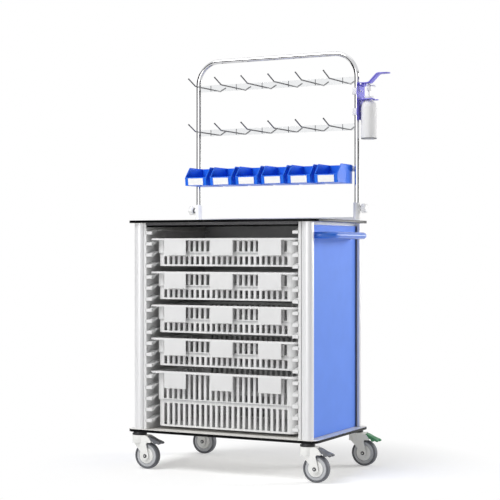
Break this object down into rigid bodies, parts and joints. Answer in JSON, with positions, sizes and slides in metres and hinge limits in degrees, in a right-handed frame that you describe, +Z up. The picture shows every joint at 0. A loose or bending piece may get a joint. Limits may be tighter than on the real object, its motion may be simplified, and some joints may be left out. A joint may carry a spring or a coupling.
{
  "type": "medication trolley",
  "caption": "Open basket cabinet on swivel casters with sliding slotted baskets, a push handle and a clamped rack with hooks, hanging bins and an elbow-lever dispenser.",
  "frame": {"origin": "bottom centre of the whole trolley's box, on the floor between the casters", "axes": "+Z up, +X towards the push handle and the dispenser, -Y out of the open front"},
  "size_m": [0.8444, 0.5826, 1.5335],
  "materials": {
    "laminate": "pale compact laminate with dark edges",
    "white_board": "satin white",
    "post_aluminium": "satin anodised",
    "blue_panel": "satin blue laminate",
    "back_sheet": "grey",
    "dark_rail": "dark grey",
    "handle_blue": "glossy blue",
    "basket_white": "moulded white",
    "white_plastic": "satin white",
    "rack_chrome": "polished",
    "bin_blue": "moulded blue",
    "violet_coat": "powder coated",
    "bottle_white": "satin grey-white",
    "caster_dark": "dark grey",
    "fork_pale": "satin pale grey",
    "axle_steel": "bright",
    "tread_grey": "grey tread",
    "pedal_slate": "satin slate",
    "pedal_green": "satin green"
  },
  "bodies": {
    "cabinet": {"worktop": "laminate", "base_board": "laminate", "rear_lip": "white_board", "post_front_left": "post_aluminium", "post_front_right": "post_aluminium", "post_rear_left": "post_aluminium", "post_rear_right": "post_aluminium", "side_wall_left": "white_board", "side_wall_right": "white_board", "side_panel_left": "blue_panel", "side_panel_right": "blue_panel", "back_panel": "back_sheet", "front_rail": "dark_rail", "runner_panel_left": "white_board", "runner_panel_right": "white_board", "push_handle": "handle_blue", "rack_socket_left": "white_plastic", "rack_socket_right": "white_plastic", "caster_mount_front_left": "caster_dark", "caster_mount_front_right": "caster_dark", "caster_mount_rear_left": "caster_dark", "caster_mount_rear_right": "caster_dark"},
    "rack": {"rack_tube": "rack_chrome", "hook_rail_upper": "rack_chrome", "hook_rail_lower": "rack_chrome", "bin_rail": "rack_chrome", "dispenser_bracket": "violet_coat", "dispenser_clamp_upper": "white_plastic", "dispenser_clamp_lower": "white_plastic", "bottle": "bottle_white"},
    "knob_left": {"clamp_knob_left": "white_plastic"},
    "knob_right": {"clamp_knob_right": "white_plastic"},
    "lever": {"dispenser_lever": "violet_coat"},
    "pump": {"pump_head": "white_plastic"},
    "bin_1": {"bin_1": "bin_blue"},
    "bin_2": {"bin_2": "bin_blue"},
    "bin_3": {"bin_3": "bin_blue"},
    "bin_4": {"bin_4": "bin_blue"},
    "bin_5": {"bin_5": "bin_blue"},
    "bin_6": {"bin_6": "bin_blue"},
    "basket_1": {"basket_1": "basket_white"},
    "basket_2": {"basket_2": "basket_white"},
    "basket_3": {"basket_3": "basket_white"},
    "basket_4": {"basket_4": "basket_white"},
    "basket_5": {"basket_5": "basket_white"},
    "fork_front_left": {"fork_front_left": "fork_pale", "axle_front_left": "axle_steel"},
    "wheel_front_left": {"wheel_front_left": "tread_grey"},
    "pedal_front_left": {"brake_pedal_front_left": "pedal_slate"},
    "fork_front_right": {"fork_front_right": "fork_pale", "axle_front_right": "axle_steel"},
    "wheel_front_right": {"wheel_front_right": "tread_grey"},
    "pedal_front_right": {"brake_pedal_front_right": "pedal_slate"},
    "fork_rear_left": {"fork_rear_left": "fork_pale", "axle_rear_left": "axle_steel"},
    "wheel_rear_left": {"wheel_rear_left": "tread_grey"},
    "fork_rear_right": {"fork_rear_right": "fork_pale", "axle_rear_right": "axle_steel"},
    "wheel_rear_right": {"wheel_rear_right": "tread_grey"},
    "pedal_rear_right": {"lock_pedal_rear_right": "pedal_green"}
  },
  "joints": [
    {"name": "basket_1_slide", "type": "slide", "parent": "cabinet", "child": "basket_1", "axis": [0, -1, 0], "range_m": [0, 0.28]},
    {"name": "basket_2_slide", "type": "slide", "parent": "cabinet", "child": "basket_2", "axis": [0, -1, 0], "range_m": [0, 0.28]},
    {"name": "basket_3_slide", "type": "slide", "parent": "cabinet", "child": "basket_3", "axis": [0, -1, 0], "range_m": [0, 0.28]},
    {"name": "basket_4_slide", "type": "slide", "parent": "cabinet", "child": "basket_4", "axis": [0, -1, 0], "range_m": [0, 0.28]},
    {"name": "basket_5_slide", "type": "slide", "parent": "cabinet", "child": "basket_5", "axis": [0, -1, 0], "range_m": [0, 0.28]},
    {"name": "rack_lift", "type": "slide", "parent": "cabinet", "child": "rack", "axis": [0, 0, 1], "range_m": [0, 0.04]},
    {"name": "knob_left_turn", "type": "hinge", "parent": "cabinet", "child": "knob_left", "pos_m": [-0.3793, 0.17039, 0.9468], "axis": [-1, 0, 0], "continuous": true},
    {"name": "knob_right_turn", "type": "hinge", "parent": "cabinet", "child": "knob_right", "pos_m": [0.2909, 0.17039, 0.9468], "axis": [1, 0, 0], "continuous": true},
    {"name": "bin_1_lift", "type": "slide", "parent": "rack", "child": "bin_1", "axis": [0, 0, 1], "range_m": [0, 0.04]},
    {"name": "bin_2_lift", "type": "slide", "parent": "rack", "child": "bin_2", "axis": [0, 0, 1], "range_m": [0, 0.04]},
    {"name": "bin_3_lift", "type": "slide", "parent": "rack", "child": "bin_3", "axis": [0, 0, 1], "range_m": [0, 0.04]},
    {"name": "bin_4_lift", "type": "slide", "parent": "rack", "child": "bin_4", "axis": [0, 0, 1], "range_m": [0, 0.04]},
    {"name": "bin_5_lift", "type": "slide", "parent": "rack", "child": "bin_5", "axis": [0, 0, 1], "range_m": [0, 0.04]},
    {"name": "bin_6_lift", "type": "slide", "parent": "rack", "child": "bin_6", "axis": [0, 0, 1], "range_m": [0, 0.04]},
    {"name": "lever_press", "type": "hinge", "parent": "rack", "child": "lever", "pos_m": [0.3152, 0.17039, 1.404], "axis": [0, 1, 0], "range_deg": [0, 25], "stiffness_Nm_per_rad": 0.5, "springref_deg": -17.19},
    {"name": "pump_press", "type": "slide", "parent": "rack", "child": "pump", "axis": [0, 0, -1], "range_m": [0, 0.0135]},
    {"name": "swivel_front_left_turn", "type": "hinge", "parent": "cabinet", "child": "fork_front_left", "pos_m": [-0.3809, -0.26481, 0.1217], "axis": [0, 0, 1], "continuous": true},
    {"name": "wheel_front_left_roll", "type": "hinge", "parent": "fork_front_left", "child": "wheel_front_left", "pos_m": [-0.3469, -0.26481, 0.048], "axis": [0, 1, 0], "continuous": true},
    {"name": "pedal_front_left_press", "type": "hinge", "parent": "fork_front_left", "child": "pedal_front_left", "pos_m": [-0.3374, -0.26481, 0.1127], "axis": [0, 1, 0], "range_deg": [0, 11.5]},
    {"name": "swivel_front_right_turn", "type": "hinge", "parent": "cabinet", "child": "fork_front_right", "pos_m": [0.2925, -0.26481, 0.1217], "axis": [0, 0, 1], "continuous": true},
    {"name": "wheel_front_right_roll", "type": "hinge", "parent": "fork_front_right", "child": "wheel_front_right", "pos_m": [0.3265, -0.26481, 0.048], "axis": [0, 1, 0], "continuous": true},
    {"name": "pedal_front_right_press", "type": "hinge", "parent": "fork_front_right", "child": "pedal_front_right", "pos_m": [0.336, -0.26481, 0.1127], "axis": [0, 1, 0], "range_deg": [0, 11.5]},
    {"name": "swivel_rear_left_turn", "type": "hinge", "parent": "cabinet", "child": "fork_rear_left", "pos_m": [-0.3809, 0.15959, 0.1217], "axis": [0, 0, 1], "continuous": true},
    {"name": "wheel_rear_left_roll", "type": "hinge", "parent": "fork_rear_left", "child": "wheel_rear_left", "pos_m": [-0.3469, 0.15959, 0.048], "axis": [0, 1, 0], "continuous": true},
    {"name": "swivel_rear_right_turn", "type": "hinge", "parent": "cabinet", "child": "fork_rear_right", "pos_m": [0.2925, 0.15959, 0.1217], "axis": [0, 0, 1], "continuous": true},
    {"name": "wheel_rear_right_roll", "type": "hinge", "parent": "fork_rear_right", "child": "wheel_rear_right", "pos_m": [0.3265, 0.15959, 0.048], "axis": [0, 1, 0], "continuous": true},
    {"name": "pedal_rear_right_press", "type": "hinge", "parent": "fork_rear_right", "child": "pedal_rear_right", "pos_m": [0.336, 0.15959, 0.1127], "axis": [0, 1, 0], "range_deg": [0, 11.5]}
  ],
  "couplings": [
    {"joint": "pump_press", "follows": "lever_press", "m_per_rad": 0.03}
  ]
}
